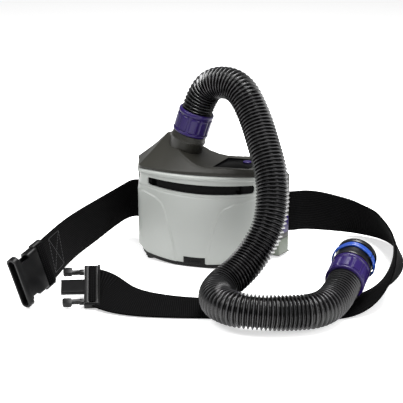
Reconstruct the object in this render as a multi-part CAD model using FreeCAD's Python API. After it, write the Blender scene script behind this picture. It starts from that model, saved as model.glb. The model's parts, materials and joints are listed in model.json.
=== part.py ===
"""Belt-worn powered air respirator: blower unit, breathing hose and waist belt.

Millimetres. X is right, -Y is the front (the filter cover), +Z is up. The origin is on the floor under
the middle of the blower unit. Every function makes one sub-part and returns its shape.
"""
import FreeCAD, Part
import math
import os

from FreeCAD import Matrix, Placement, Rotation, Vector

os.makedirs("parts", exist_ok=True)

# ---- case: plan outline and heights
FRONT_Y = -44.0          # middle of the bowed front
FRONT_R = 200.0          # plan radius of the front
FRONT_HALF = 73.0        # half width at the front corners
REAR_HALF = 98.6         # half width at the rear corners
REAR_Y = 47.5            # rear corners, which wrap towards the wearer
BACK_Y = 24.0            # middle of the hollow back
CORNER_FRONT_R = 14.0
CORNER_REAR_R = 5.0
WALL = 2.4
SEAM_Z = 113.0           # top of the filter cover
DECK_Z = 122.0           # flat deck of the upper housing
DECK_INSET = 7.0         # how far the deck edge is set in from the seam
SHOULDER_CORNER = Vector(95.0, 43.0, 98.0)
SHOULDER_FALL = Vector(0.70, 0.53, 0)   # mm of fall per mm towards the side and the rear
COVER_REAR_Y = 18.0      # the cover's side walls end here
GAP = 0.3                # assembly gap between neighbouring shells

# ---- base, battery and rear shell heights
FOOT_H = 2.5
PAN_T = 1.2
BATTERY_Z = (4.1, 23.0)
REAR_Z = 23.6
BATTERY_PIVOT = Vector(-74.0, 31.0, FOOT_H + PAN_T)
PIVOT_R = 1.5
TRIM_X = -83.0           # the left rear trim ends here, clear of the battery's swing

# ---- outlet
OUTLET = Vector(-17.3, 2.0, 153.5)
OUTLET_TILT = 18.0       # degrees from upright, towards +X
COLLAR_L = 27.5
COLLAR_R = 21.0
HOSE_R = 18.5
HOSE_BORE_R = 15.5
CUFF_R = 18.4
BORE_R = 13.5

# ---- belt
STRAP_W = 50.0
STRAP_T = 2.4
STRAP_Z = 51.5           # middle of the webbing behind the unit

# ---- blower
BLOWER = Vector(2.0, -1.0, 72.0)
IMPELLER_R = 23.0
VOLUTE_R = 30.0
VOLUTE_D = 17.5

Z_AXIS = Vector(0, 0, 1)
OUTLET_AXIS = Vector(math.sin(math.radians(OUTLET_TILT)), 0, math.cos(math.radians(OUTLET_TILT)))


# ------------------------------------------------------------------ helpers
def box(x0, x1, y0, y1, z0, z1):
    return Part.makeBox(x1 - x0, y1 - y0, z1 - z0, Vector(x0, y0, z0))


def rounded_box(x0, x1, y0, y1, z0, z1, r, axis="z"):
    """A box with the four edges along one axis rounded."""
    shape = box(x0, x1, y0, y1, z0, z1)
    along = {"x": Vector(1, 0, 0), "y": Vector(0, 1, 0), "z": Z_AXIS}[axis]
    edges = [e for e in shape.Edges if abs(e.tangentAt(0).dot(along)) > 0.99]
    return shape.makeFillet(r, edges)


def tube(base, axis, r_in, r_out, h0, h1):
    """A ring about an axis, between two heights above its base."""
    start = base + axis * h0
    outer = Part.makeCylinder(r_out, h1 - h0, start, axis)
    if r_in <= 0:
        return outer
    return outer.cut(Part.makeCylinder(r_in, h1 - h0, start, axis))


def rod(base, axis, r, h0, h1):
    return Part.makeCylinder(r, h1 - h0, base + axis * h0, axis)


def front_line_y(x, inset=0.0):
    """Y of the bowed front at a given x."""
    r = FRONT_R - inset
    return FRONT_Y + FRONT_R - math.sqrt(r * r - x * x)


def back_line_y(x):
    """Y of the hollow back at a given x."""
    r = back_radius()
    return BACK_Y + r - math.sqrt(r * r - x * x)


def back_radius():
    rise = REAR_Y - BACK_Y
    return (REAR_HALF ** 2 + rise ** 2) / (2 * rise)


def line_meets_circle(point, direction, centre, radius, near):
    """The crossing of a line and a circle that is nearest to a given point."""
    to_point = point - centre
    b = to_point.dot(direction)
    c = to_point.dot(to_point) - radius * radius
    root = math.sqrt(b * b - c)
    hits = [point + direction * (-b - root), point + direction * (-b + root)]
    return min(hits, key=lambda p: p.distanceToPoint(near))


def case_corners(inset):
    """Right front corner, right rear corner of the plan outline, set in by a distance."""
    front = Vector(FRONT_HALF, front_line_y(FRONT_HALF), 0)
    rear = Vector(REAR_HALF, REAR_Y, 0)
    side = (rear - front).normalize()
    inward = Vector(-side.y, side.x, 0)
    start = front + inward * inset
    front_centre = Vector(0, FRONT_Y + FRONT_R, 0)
    back_centre = Vector(0, BACK_Y + back_radius(), 0)
    a = line_meets_circle(start, side, front_centre, FRONT_R - inset, front)
    b = line_meets_circle(start, side, back_centre, back_radius() + inset, rear)
    return a, b


def case_prism(inset, z0, z1):
    """The case outline, set in by a distance, as an upright solid with rounded corners."""
    a, b = case_corners(inset)
    a2, b2 = Vector(-a.x, a.y, 0), Vector(-b.x, b.y, 0)
    front = Part.Arc(a2, Vector(0, FRONT_Y + inset, 0), a).toShape()
    right = Part.LineSegment(a, b).toShape()
    back = Part.Arc(b, Vector(0, BACK_Y - inset, 0), b2).toShape()
    left = Part.LineSegment(b2, a2).toShape()
    face = Part.Face(Part.Wire([front, right, back, left]))
    solid = face.extrude(Vector(0, 0, z1 - z0))
    solid.translate(Vector(0, 0, z0))
    upright = [e for e in solid.Edges if abs(e.tangentAt(e.FirstParameter).z) > 0.99]
    solid = solid.makeFillet(CORNER_FRONT_R - inset, [e for e in upright if e.CenterOfMass.y < 0])
    upright = [e for e in solid.Edges if abs(e.tangentAt(e.FirstParameter).z) > 0.99]
    rear_edges = [e for e in upright if e.CenterOfMass.y > 10]
    return solid.makeFillet(max(CORNER_REAR_R - inset, 1.0), rear_edges)


def frame_at(origin, along, across):
    """A placement whose X is `along`, Y is `across` (made square to it) and Z is their normal."""
    x = Vector(along).normalize()
    y = Vector(across)
    y = (y - x * y.dot(x)).normalize()
    z = x.cross(y)
    m = Matrix(x.x, y.x, z.x, origin.x, x.y, y.y, z.y, origin.y, x.z, y.z, z.z, origin.z, 0, 0, 0, 1)
    return Placement(m)


def placed(shape, placement):
    moved = shape.copy()
    moved.Placement = placement.multiply(moved.Placement)
    return moved


def fuse(shapes):
    result = shapes[0]
    for other in shapes[1:]:
        result = result.fuse(other)
    return result.removeSplitter()


def smile_cut(z_mid, rise):
    """Everything under a shallow arc that rises towards both ends of the front."""
    half = 120.0
    z_end = z_mid + rise * (half / FRONT_HALF) ** 2
    arc = Part.Arc(Vector(-half, -80, z_end), Vector(0, -80, z_mid), Vector(half, -80, z_end)).toShape()
    down = [Vector(half, -80, z_end), Vector(half, -80, -20), Vector(-half, -80, -20), Vector(-half, -80, z_end)]
    lines = [Part.LineSegment(p, q).toShape() for p, q in zip(down[:-1], down[1:])]
    face = Part.Face(Part.Wire([arc] + lines))
    return face.extrude(Vector(0, 160, 0))


# ------------------------------------------------------------------ cover and filter
SLOT_X = (-59.0, 70.0)
SLOT_Z = (93.5, 104.0)
NOTCH_HALF = 13.0
NOTCH_TOP_Z = 13.5


def filter_cover():
    body = case_prism(1.0, 0, SEAM_Z - 4)
    lip = case_prism(0, SEAM_Z - 4, SEAM_Z)
    shell = body.fuse(lip).removeSplitter()
    shell = shell.cut(case_prism(1.0 + WALL, -1, SEAM_Z - WALL))
    shell = shell.cut(box(-120, 120, COVER_REAR_Y, 90, -1, SEAM_Z + 1))
    shell = shell.cut(smile_cut(4.2, 4.0))
    shell = shell.cut(rounded_box(*SLOT_X, FRONT_Y - 6, -20, *SLOT_Z, 3.0, "y"))
    shell = shell.cut(box(-NOTCH_HALF, NOTCH_HALF, FRONT_Y - 6, -30, 0, NOTCH_TOP_Z))
    inner_top = box(-90, 90, -28, COVER_REAR_Y + 1, SEAM_Z - WALL - 1, SEAM_Z + 1)
    return shell.cut(inner_top.common(case_prism(1.0 + WALL, SEAM_Z - 6, SEAM_Z + 2)))


def cover_latch():
    plate = box(-NOTCH_HALF + 0.5, NOTCH_HALF - 0.5, FRONT_Y + 2.0, FRONT_Y + 4.2, 4.4, NOTCH_TOP_Z - 0.5)
    lip = rounded_box(-8, 8, FRONT_Y + 0.8, FRONT_Y + 2.0, 5.2, 8.0, 0.5, "x")
    return plate.fuse(lip).removeSplitter()


def base_pan():
    floor = case_prism(0.6, FOOT_H, FOOT_H + PAN_T)
    rim = case_prism(4.4, FOOT_H, 9.0).cut(case_prism(5.9, FOOT_H - 1, 10))
    rim = rim.cut(box(-120, 120, -8, 90, -1, 20))
    rim = rim.cut(box(-NOTCH_HALF - 1, NOTCH_HALF + 1, -60, -30, FOOT_H + PAN_T, 20))
    pin = rod(BATTERY_PIVOT, Z_AXIS, PIVOT_R, -0.5, 17.0)
    return fuse([floor, rim, pin])


def feet():
    spots = [(-60, -20), (60, -20), (-72, 22), (72, 22)]
    return Part.makeCompound([Part.makeCylinder(5.0, FOOT_H, Vector(x, y, 0)) for x, y in spots])


FILTER_X = 60.0
FILTER_Y = (-27.0, -8.0)
FILTER_Z = (10.5, 108.0)


def filter_frame():
    outer = rounded_box(-FILTER_X, FILTER_X, *FILTER_Y, *FILTER_Z, 4.0, "y")
    hollow = rounded_box(-FILTER_X + 3, FILTER_X - 3, FILTER_Y[0] - 1, FILTER_Y[1] - 1.5,
                         FILTER_Z[0] + 3, FILTER_Z[1] - 3, 0.3, "y")
    outer = outer.cut(hollow)
    window = rounded_box(-FILTER_X + 9, FILTER_X - 9, FILTER_Y[0], FILTER_Y[1] + 1,
                         FILTER_Z[0] + 9, FILTER_Z[1] - 9, 2.5, "y")
    return outer.cut(window)


def filter_media():
    """Pleated pack: a zigzag block, folded up and down along X."""
    pleats = 22
    x0 = -FILTER_X + 3.2
    step = 2 * abs(x0) / pleats
    front, rear = FILTER_Y[0] + 1.0, FILTER_Y[1] - 1.8
    depth = 4.0
    rim = [Vector(x0 + i * step / 2, front + (depth if i % 2 else 0), 0) for i in range(2 * pleats + 1)]
    back = [Vector(p.x, rear - (depth if i % 2 == 0 else 0), 0) for i, p in enumerate(rim)]
    outline = rim + back[::-1] + rim[:1]
    face = Part.Face(Part.makePolygon(outline))
    block = face.extrude(Vector(0, 0, FILTER_Z[1] - FILTER_Z[0] - 6.4))
    block.translate(Vector(0, 0, FILTER_Z[0] + 3.2))
    return block


def prefilter():
    return rounded_box(-54, 54, -31.0, -27.3, 16, 106, 4.0, "y")


def spark_arrestor():
    """Metal frame with a punched screen behind the inlet slot."""
    plate = rounded_box(-54, 54, -32.6, -31.3, 84, 106, 3.0, "y")
    pitch = 7.2
    holes = []
    for row in range(2):
        for col in range(14):
            x = -49.0 + col * pitch + row * pitch / 2
            holes.append(rounded_box(x, x + 5.0, -34, -30, 87.5 + row * 8.4, 94.0 + row * 8.4, 1.2, "y"))
    return plate.cut(Part.makeCompound(holes))


def filter_gasket():
    outer = rounded_box(-FILTER_X + 2, FILTER_X - 2, -8.0, -6.2, FILTER_Z[0] + 2, FILTER_Z[1] - 2, 3.0, "y")
    inner = rounded_box(-FILTER_X + 8, FILTER_X - 8, -9, -5, FILTER_Z[0] + 8, FILTER_Z[1] - 8, 2.5, "y")
    return outer.cut(inner)


# ------------------------------------------------------------------ chassis and shells
CHASSIS_X = 74.0
BULK_Y = (-6.0, -3.2)
FLANGE_Y = (16.2, COVER_REAR_Y + GAP)
SCREW_X = 80.0
SCREW_Z = (34.0, 104.0)


def mirrored(x0, x1, *rest):
    """A box and its mirror image across the middle of the unit."""
    return [box(x0, x1, *rest), box(-x1, -x0, *rest)]


def screw_rods(radius, y0, y1):
    return [rod(Vector(side * SCREW_X, 0, z), Vector(0, 1, 0), radius, y0, y1)
            for side in (-1, 1) for z in SCREW_Z]


def chassis():
    top = SEAM_Z + GAP
    floor_z = FOOT_H + PAN_T
    plate = box(-CHASSIS_X, CHASSIS_X, *BULK_Y, floor_z, top)
    shelf = box(-CHASSIS_X, CHASSIS_X, BULK_Y[1], 17.6, REAR_Z, REAR_Z + 1.8)
    sides = mirrored(CHASSIS_X, CHASSIS_X + 2, BULK_Y[0], FLANGE_Y[1], floor_z, top)
    flanges = mirrored(CHASSIS_X + 2, SCREW_X + 4, *FLANGE_Y, REAR_Z + 2.6, SEAM_Z - 4)
    posts = [rod(Vector(x, 0, z), Vector(0, 1, 0), 2.0, BULK_Y[1], BOARD_Y)
             for x in (39, 69) for z in (47, 101)]
    body = fuse([plate, shelf] + sides + flanges + posts)
    body = body.cut(box(-38, 0, BULK_Y[0] - 1, BULK_Y[1], SEAM_Z - 4, top + 1))
    body = body.cut(box(CHASSIS_X - 1, 90, BULK_Y[1], 20, 0, REAR_Z))
    body = body.cut(box(-90, 1 - CHASSIS_X, 16, 20, 0, REAR_Z))
    inlet = rod(Vector(BLOWER.x, 0, BLOWER.z), Vector(0, 1, 0), 16.0, -10, 0)
    return body.cut(inlet).cut(Part.makeCompound(screw_rods(1.5, 10, 30)))


def above_shoulders(sink):
    """Everything above the two planes that bring the top down to the rear corners."""
    blocks = []
    for side in (-1, 1):
        corner = Vector(side * SHOULDER_CORNER.x, SHOULDER_CORNER.y, SHOULDER_CORNER.z)
        normal = Vector(side * SHOULDER_FALL.x, SHOULDER_FALL.y, 1).normalize()
        block = box(-80, 80, -80, 80, 0, 60)
        blocks.append(placed(block, Placement(corner - normal * sink, Rotation(Z_AXIS, normal))))
    return Part.makeCompound(blocks)


def rear_housing():
    shell = case_prism(0, REAR_Z, SEAM_Z).cut(above_shoulders(0))
    hollow = case_prism(WALL, REAR_Z + WALL, SEAM_Z + 1).cut(above_shoulders(WALL))
    flange_zone = mirrored(CHASSIS_X + 2.4, 120, 0, FLANGE_Y[1] + 2.0, 0, 200)
    hollow = hollow.cut(Part.makeCompound(flange_zone))
    shell = shell.cut(hollow)
    shell = shell.cut(box(-120, 120, -90, FLANGE_Y[1], 0, SEAM_Z + 1))
    bosses = Part.makeCompound(screw_rods(4.0, FLANGE_Y[1], 50)).common(case_prism(0.2, 0, 200))
    shell = fuse([shell, bosses])
    shell = shell.cut(Part.makeCompound(screw_rods(1.7, 0, 60)))
    shell = shell.cut(Part.makeCompound(screw_rods(3.3, screw_head_y(), 60)))
    return shell.cut(box(86, 110, 24.4, 36.6, 29.4, 50.6))


def slanted_case(inset0, z0, inset1, z1):
    """The case outline lofted from one inset at z0 to another at z1."""
    lower = case_prism(inset0, z0, z0 + 1)
    upper = case_prism(inset1, z1 - 1, z1)
    bottom = min(lower.Faces, key=lambda f: f.CenterOfMass.z).OuterWire
    top = max(upper.Faces, key=lambda f: f.CenterOfMass.z).OuterWire
    return Part.makeLoft([bottom, top], True, True)


def ellipse_wire(centre, a, b, normal=Z_AXIS, along=Vector(1, 0, 0)):
    curve = Part.Ellipse(centre + along * a, centre + normal.cross(along) * b, centre)
    return Part.Wire([curve.toShape()])


def neck_solid(shrink):
    """Sloping neck from the left of the deck up to the outlet."""
    foot = ellipse_wire(Vector(-38, -5, SEAM_Z + 2), 41 - shrink, 30 - shrink)
    top_centre = OUTLET - OUTLET_AXIS * 12
    across = Vector(OUTLET_AXIS.z, 0, -OUTLET_AXIS.x)
    top = ellipse_wire(top_centre, 22.4 - shrink, 22.4 - shrink, OUTLET_AXIS, across)
    return Part.makeLoft([foot, top], True, True)


WINDOW = [Vector(20, -31, 0), Vector(26, 14, 0), Vector(74, 14, 0), Vector(62, -28, 0)]


def window_prism(shrink, z0, z1):
    centre = (WINDOW[0] + WINDOW[1] + WINDOW[2] + WINDOW[3]) * 0.25
    pts = [p + (centre - p).normalize() * shrink for p in WINDOW]
    face = Part.Face(Part.makePolygon(pts + pts[:1]))
    solid = face.extrude(Vector(0, 0, z1 - z0))
    solid.translate(Vector(0, 0, z0))
    return solid


def upper_housing():
    shell = slanted_case(0, SEAM_Z + GAP, DECK_INSET, DECK_Z)
    shell = shell.fuse(neck_solid(0))
    hollow = slanted_case(WALL + 1.4, SEAM_Z + GAP - 1, DECK_INSET + WALL + 1.4, DECK_Z - WALL)
    shell = shell.cut(above_shoulders(0)).cut(hollow.cut(above_shoulders(WALL)))
    shell = shell.cut(neck_solid(2.0).common(box(-100, 60, -60, 60, SEAM_Z, 200)))
    shell = shell.cut(tube(OUTLET, OUTLET_AXIS, 0, 20.1, -40, 10))
    shell = shell.cut(window_prism(0, DECK_Z - 3.6, DECK_Z + 1))
    ledge = window_prism(-2.5, DECK_Z - 5.0, DECK_Z - 3.6).cut(window_prism(3.5, DECK_Z - 6, DECK_Z))
    ledge = ledge.common(slanted_case(1, SEAM_Z + GAP, DECK_INSET + 1, DECK_Z))
    return shell.fuse(ledge).removeSplitter()


def outlet_spigot():
    body = tube(OUTLET, OUTLET_AXIS, 16.6, 20.0, -26, -1.0)
    bead = tube(OUTLET, OUTLET_AXIS, 19.0, 20.8, -9.5, -6.5)
    return body.fuse(bead).removeSplitter()


def outlet_duct():
    """Thin tube from the top of the scroll to the foot of the spigot."""
    top_centre = OUTLET - OUTLET_AXIS * 26.2
    across = Vector(OUTLET_AXIS.z, 0, -OUTLET_AXIS.x)

    def loft(shrink):
        foot = ellipse_wire(Vector(-15, 6.75, SEAM_Z - 3.8), 12.4 - shrink, 8.2 - shrink)
        top = ellipse_wire(top_centre, 17.6 - shrink, 17.6 - shrink, OUTLET_AXIS, across)
        return Part.makeLoft([foot, top], True, True)

    return loft(0).cut(loft(1.4))


# ------------------------------------------------------------------ blower
BLOWER_AXIS = Vector(0, 1, 0)


def blower_scroll():
    """Open-fronted scroll cup with its outlet duct up towards the neck."""
    cup = rod(BLOWER, BLOWER_AXIS, VOLUTE_R, 0, VOLUTE_D)
    duct = box(BLOWER.x - VOLUTE_R, BLOWER.x - 4, BLOWER.y, BLOWER.y + VOLUTE_D, BLOWER.z, SEAM_Z - 4)
    body = cup.fuse(duct)
    bore = rod(BLOWER, BLOWER_AXIS, VOLUTE_R - 2, -1, VOLUTE_D - 2)
    passage = box(BLOWER.x - VOLUTE_R + 2, BLOWER.x - 6, BLOWER.y - 1, BLOWER.y + VOLUTE_D - 2,
                  BLOWER.z, SEAM_Z - 3)
    shaft_hole = rod(BLOWER, BLOWER_AXIS, 4.0, VOLUTE_D - 4, VOLUTE_D + 1)
    return body.cut(bore).cut(passage).cut(shaft_hole)


def blower_inlet_plate():
    plate = rod(BLOWER, BLOWER_AXIS, VOLUTE_R, -2.2, -0.2)
    duct = box(BLOWER.x - VOLUTE_R, BLOWER.x - 4, BLOWER.y - 2.2, BLOWER.y - 0.2, BLOWER.z, SEAM_Z - 4)
    eye = rod(BLOWER, BLOWER_AXIS, 14.0, -4, 1)
    return plate.fuse(duct).removeSplitter().cut(eye)


def impeller():
    """Backplate, hub, shroud ring and curved blades."""
    back = tube(BLOWER, BLOWER_AXIS, 3.0, IMPELLER_R, 9.0, 10.2)
    hub = tube(BLOWER, BLOWER_AXIS, 3.0, 7.0, 1.5, 9.0)
    shroud = tube(BLOWER, BLOWER_AXIS, 14.5, IMPELLER_R, 0.8, 1.8)
    blades = []
    count = 14
    for i in range(count):
        blade = box(13.0, IMPELLER_R - 0.4, 1.8, 9.0, -0.5, 0.5)
        blade.rotate(Vector(13, 0, 0), Vector(0, 1, 0), -28)
        blade.rotate(Vector(0, 0, 0), Vector(0, 1, 0), i * 360.0 / count)
        blade.translate(BLOWER)
        blades.append(blade.common(tube(BLOWER, BLOWER_AXIS, 5.0, IMPELLER_R, 1.0, 9.5)))
    return fuse([back, hub, shroud] + blades)


def motor_can():
    """The motor, behind the scroll floor."""
    return tube(BLOWER, BLOWER_AXIS, 3.6, 13.0, VOLUTE_D + 0.2, VOLUTE_D + 4.4)


def motor_shaft():
    return rod(BLOWER, BLOWER_AXIS, 2.95, 2.5, VOLUTE_D + 4.2)


def motor_bearing():
    return tube(BLOWER, BLOWER_AXIS, 3.0, 4.0, VOLUTE_D - 2.0, VOLUTE_D - 0.2)


BOARD_Y = 2.0


def control_board():
    board = box(36, 72, BOARD_Y, BOARD_Y + 1.6, 44, 104)
    chips = [box(40, 52, 3.6, 5.4, 84, 96), box(56, 62, 3.6, 5.0, 86, 92), box(42, 50, 3.6, 6.6, 58, 66),
             box(62, 70, 3.6, 5.2, 66, 76), box(58, 68, 3.6, 8.6, 48, 54)]
    return fuse([board] + chips)


def buzzer():
    return rod(Vector(54, BOARD_Y + 1.6, 76), Vector(0, 1, 0), 6.0, 0, 6.0)


# ------------------------------------------------------------------ controls on the deck
POWER_BUTTON = Vector(51.5, 5.0, 0)
FLOW_BUTTON = Vector(63.5, 5.0, 0)
BUTTON_R = 5.0


def display_window():
    panel = window_prism(0.4, DECK_Z - 3.5, DECK_Z - 1.3)
    for spot in (POWER_BUTTON, FLOW_BUTTON):
        panel = panel.cut(Part.makeCylinder(BUTTON_R + 0.35, 10, Vector(spot.x, spot.y, DECK_Z - 6)))
    return panel


def deck_button(spot):
    cap = Part.makeCylinder(BUTTON_R, 3.0, Vector(spot.x, spot.y, DECK_Z - 3.2))
    top = [e for e in cap.Edges if e.CenterOfMass.z > DECK_Z - 0.5 and e.Length > 10]
    return cap.makeFillet(0.8, top)


# ------------------------------------------------------------------ battery
def battery_pack():
    lower = case_prism(0, *BATTERY_Z)
    tail = lower.common(box(-80, 120, COVER_REAR_Y + GAP, 90, 0, 40))
    bar = box(-73, 73, -2.8, COVER_REAR_Y + GAP, *BATTERY_Z)
    hole = rod(BATTERY_PIVOT, Z_AXIS, PIVOT_R + 0.05, -5, 30)
    return tail.fuse(bar).removeSplitter().cut(hole)


def rear_foot_trim():
    """Left rear end piece of the base, beside the battery's hinged end."""
    return case_prism(0, *BATTERY_Z).common(box(-120, TRIM_X, COVER_REAR_Y + GAP, 90, 0, 40))


def battery_latch():
    body = rounded_box(90.5, 97.4, 24.8, 36.2, 29.8, 50.2, 2.0, "x")
    trim = case_prism(-0.8, 25, 60)
    return body.common(trim)


def battery_contacts():
    return Part.makeCompound([box(x, x + 3, BULK_Y[1], BULK_Y[1] + 0.35, 10, 18) for x in (20, 28, 36, 44)])


# ------------------------------------------------------------------ fasteners
def screw_head_y():
    """Where the screw heads bear, sunk below the hollow back."""
    return back_line_y(SCREW_X) - 3.2


def housing_screws():
    """Four long screws from the back through the rear housing into the chassis flanges."""
    heads = screw_rods(3.0, screw_head_y(), screw_head_y() + 2.0)
    shanks = screw_rods(1.4, FLANGE_Y[0], screw_head_y() + 0.5)
    slots = [box(h.CenterOfMass.x - 2.2, h.CenterOfMass.x + 2.2, screw_head_y() + 1.2, 60,
                 h.CenterOfMass.z - 0.4, h.CenterOfMass.z + 0.4) for h in heads]
    screws = [h.fuse(k).removeSplitter().cut(c) for h, k, c in zip(heads, shanks, slots)]
    return Part.makeCompound([screw.Solids[0] for screw in screws])


def belt_guide(side):
    """Loop on the back that the webbing passes through."""
    x = side * 58.0
    y = back_line_y(x)
    half = 9.0
    z0, z1 = STRAP_Z - STRAP_W / 2, STRAP_Z + STRAP_W / 2
    bar = rounded_box(x - half, x + half, y + 7.8, y + 10.4, z0 - 2.3, z1 + 6.5, 1.2, "x")
    feet_blocks = [box(x - half, x + half, y - 4.0, y + 8.4, z1 + 1.5, z1 + 6.5),
                   box(x - half, x + half, y - 4.0, y + 8.4, z0 - 2.3, z0 - 0.4)]
    loop = fuse([bar] + feet_blocks)
    return loop.cut(case_prism(0, 0, 200))


# ------------------------------------------------------------------ hose
HOSE_ROUTE = [
    (-9.0, 2.0, 179.5), (-1.5, 2.0, 202.5), (18.0, -4.0, 217.0), (48.0, -16.0, 214.5),
    (70.0, -32.5, 184.5), (85.0, -51.0, 156.5), (97.0, -66.0, 132.5), (103.5, -80.0, 109.0),
    (104.5, -95.5, 81.5), (94.5, -111.0, 56.0), (81.5, -133.0, 37.5), (64.5, -161.0, 26.5),
    (69.0, -190.5, 24.5), (92.0, -209.0, 24.5), (122.0, -206.5, 23.0), (151.0, -193.5, 21.0),
    (178.5, -177.5, 21.0), (188.5, -140.0, 23.0), (191.0, -116.0, 30.0),
]
HEAD_AXIS = Vector(0.09, 0.955, 0.282).normalize()


def route_vectors():
    points = [Vector(*p) for p in HOSE_ROUTE]
    points[0] = OUTLET + OUTLET_AXIS * COLLAR_L
    points[1] = OUTLET + OUTLET_AXIS * (COLLAR_L + 24.0)
    points[-2] = points[-1] - HEAD_AXIS * 25.5
    return points


def rounded_route(points, report=None):
    """Straight runs joined by tangent arcs, each as large as its two runs allow."""
    edges = []
    here = points[0]
    for i in range(1, len(points) - 1):
        back = points[i - 1] - points[i]
        ahead = points[i + 1] - points[i]
        cosine = back.dot(ahead) / (back.Length * ahead.Length)
        half_turn = (math.pi - math.acos(cosine)) / 2
        reach = 0.45 * min(back.Length, ahead.Length)
        radius = reach / math.tan(half_turn)
        start = points[i] + Vector(back).normalize() * reach
        end = points[i] + Vector(ahead).normalize() * reach
        bisector = (Vector(back).normalize() + Vector(ahead).normalize()).normalize()
        middle = points[i] + bisector * (radius / math.cos(half_turn) - radius)
        edges.append(Part.LineSegment(here, start).toShape())
        edges.append(Part.Arc(start, middle, end).toShape())
        here = end
        if report:
            print(report, i, "run %.1f turn %.1f radius %.1f"
                  % (back.Length, math.degrees(2 * half_turn), radius))
    edges.append(Part.LineSegment(here, points[-1]).toShape())
    return Part.Wire(edges)


def swept_disc(path, start, direction, radius):
    circle = Part.Wire([Part.Circle(start, direction, radius).toShape()])
    return path.makePipeShell([circle], True, True)


def hose():
    points = route_vectors()
    path = rounded_route(points, "hose")
    direction = points[1] - points[0]
    outer = swept_disc(path, points[0], direction, HOSE_R)
    inner = swept_disc(path, points[0], direction, HOSE_BORE_R)
    solid = outer.cut(inner)
    section = math.pi * (HOSE_R ** 2 - HOSE_BORE_R ** 2)
    print("hose length %.1f volume ratio %.4f" % (path.Length, solid.Volume / (section * path.Length)))
    return solid


def grip_ring(base, axis, r_in, r_out, h0, h1, flats):
    """Collar with shallow flats cut round it."""
    body = tube(base, axis, r_in, r_out, h0, h1)
    across = axis.cross(Vector(0, 1, 0)).normalize() if abs(axis.y) < 0.5 else axis.cross(Z_AXIS).normalize()
    for i in range(flats):
        turned = Rotation(axis, 360.0 * i / flats).multVec(across)
        cutter = box(r_out - 0.7, r_out + 3, -4.2, 4.2, h0 + 4.0, h1 - 5.0)
        side = axis.cross(turned)
        m = Matrix(turned.x, side.x, axis.x, base.x, turned.y, side.y, axis.y, base.y,
                   turned.z, side.z, axis.z, base.z, 0, 0, 0, 1)
        body = body.cut(placed(cutter, Placement(m)))
    return body


def cuff_unit():
    nose = tube(OUTLET, OUTLET_AXIS, BORE_R, 16.5, -14, -0.7)
    groove = tube(OUTLET, OUTLET_AXIS, 15.1, 17.0, -8.2, -5.8)
    body = tube(OUTLET, OUTLET_AXIS, BORE_R, CUFF_R, -0.7, COLLAR_L)
    return nose.cut(groove).fuse(body).removeSplitter()


def outlet_o_ring():
    ring = Part.makeTorus(15.85, 0.74, OUTLET - OUTLET_AXIS * 7.0, OUTLET_AXIS)
    return ring


def collar_unit():
    return grip_ring(OUTLET, OUTLET_AXIS, CUFF_R + 0.08, COLLAR_R, -0.4, COLLAR_L - 0.2, 10)


HEAD_L = 52.0


def head_origin():
    return route_vectors()[-1]


def cuff_head():
    at = head_origin()
    sleeve = tube(at, HEAD_AXIS, BORE_R, CUFF_R, 0, 27.0)
    flange = tube(at, HEAD_AXIS, BORE_R, 21.6, 27.0, 30.0)
    body = tube(at, HEAD_AXIS, BORE_R, 20.4, 30.0, 46.5)
    rim = tube(at, HEAD_AXIS, BORE_R, 22.4, 46.5, HEAD_L)
    whole = fuse([sleeve, flange, body, rim])
    mouth = rod(at, HEAD_AXIS, 17.0, 36.0, HEAD_L + 1)
    return whole.cut(mouth)


def collar_head():
    return grip_ring(head_origin(), HEAD_AXIS, CUFF_R + 0.08, COLLAR_R + 0.6, 0.3, 26.6, 10)


def ring_sector(width_deg, mid_deg, r_in, r_out, h0, h1):
    """Part of the lock ring, mid_deg measured about the head axis from the sideways direction."""
    at = head_origin()
    sideways = HEAD_AXIS.cross(Z_AXIS).normalize()
    upward = sideways.cross(HEAD_AXIS)
    ring = tube(at, HEAD_AXIS, r_in, r_out, h0, h1)
    reach = 60.0
    a0, a1 = (math.radians(mid_deg + s * width_deg / 2) for s in (-1, 1))
    mid = math.radians(mid_deg)

    def spoke(angle, length):
        return at + HEAD_AXIS * (h0 - 1) + sideways * (length * math.cos(angle)) + upward * (length * math.sin(angle))

    outline = [spoke(0, 0), spoke(a0, reach), spoke(mid, reach / math.cos(mid - a0)), spoke(a1, reach)]
    face = Part.Face(Part.makePolygon(outline + outline[:1]))
    return ring.common(face.extrude(HEAD_AXIS * (h1 - h0 + 2)))


RING_H = (37.5, 44.5)


def lock_ring():
    """Top and bottom arcs of the ring, which clip over the connector body."""
    arcs = [ring_sector(118, mid, 20.45, 23.6, *RING_H) for mid in (90, 270)]
    return Part.makeCompound(arcs)


def squeeze_tab(mid_deg):
    """Bowed side of the ring that stands off the connector."""
    return ring_sector(58, mid_deg, 22.6, 24.6, *RING_H)


# ------------------------------------------------------------------ belt
BELT_RIGHT = [
    (-25.0, 28.6, 51.5, 0.0), (12.0, 28.2, 51.5, 0.0), (40.0, 29.4, 51.5, 0.0), (62.0, 35.4, 51.5, 0.0),
    (96.0, 48.8, 51.5, 0.0), (109.0, 77.0, 46.5, -4.0), (131.0, 108.0, 35.0, -14.0),
    (163.0, 126.0, 25.4, -22.0), (197.0, 112.0, 23.2, -28.0), (216.0, 73.0, 22.8, -29.0),
    (227.0, 33.0, 23.8, -23.0), (231.0, -10.0, 25.8, -8.0), (231.0, -48.0, 25.6, 14.0),
    (222.0, -84.0, 16.5, 56.0), (201.0, -116.0, 3.2, 88.0), (168.0, -134.0, 1.6, 90.0),
    (128.0, -144.0, 1.7, 90.0), (90.0, -154.0, 1.7, 90.0), (52.0, -162.5, 2.6, 92.0),
    (14.0, -174.0, 4.2, 95.0), (-22.0, -181.5, 7.2, 101.0), (-48.0, -180.5, 11.5, 108.0),
    (-67.9, -173.2, 17.6, 116.0),
]
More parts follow.
